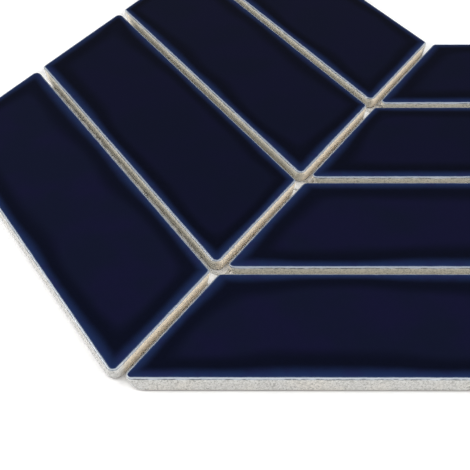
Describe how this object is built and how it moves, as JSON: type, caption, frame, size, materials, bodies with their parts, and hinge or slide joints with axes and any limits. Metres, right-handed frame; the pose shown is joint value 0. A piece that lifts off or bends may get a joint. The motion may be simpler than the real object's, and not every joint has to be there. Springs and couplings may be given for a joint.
{
  "type": "chevron mosaic tile sheet",
  "caption": "Slanted glazed ceramic strips in two mirrored columns on an open backing net, for laying chevron rows on a wall or floor.",
  "frame": {"origin": "middle of the sheet's outline, on the plane that the net's underside lies on", "axes": "+Z out of the glazed faces, +Y along the straight joint between the two columns, with the points of the chevrons towards -Y, and +X across the columns"},
  "size_m": [0.2452, 0.2834, 0.006],
  "materials": {
    "strip": "dark blue-black glossy glaze on the face and its rounded edge, bare pale body on the sides and back",
    "net": "white resin-coated glass-fibre net"
  },
  "bodies": {
    "root": {"strip_right_1": "strip", "strip_right_2": "strip", "strip_right_3": "strip", "strip_right_4": "strip", "strip_left_1": "strip", "strip_left_2": "strip", "strip_left_3": "strip", "strip_left_4": "strip", "backing_net": "net"}
  },
  "joints": []
}
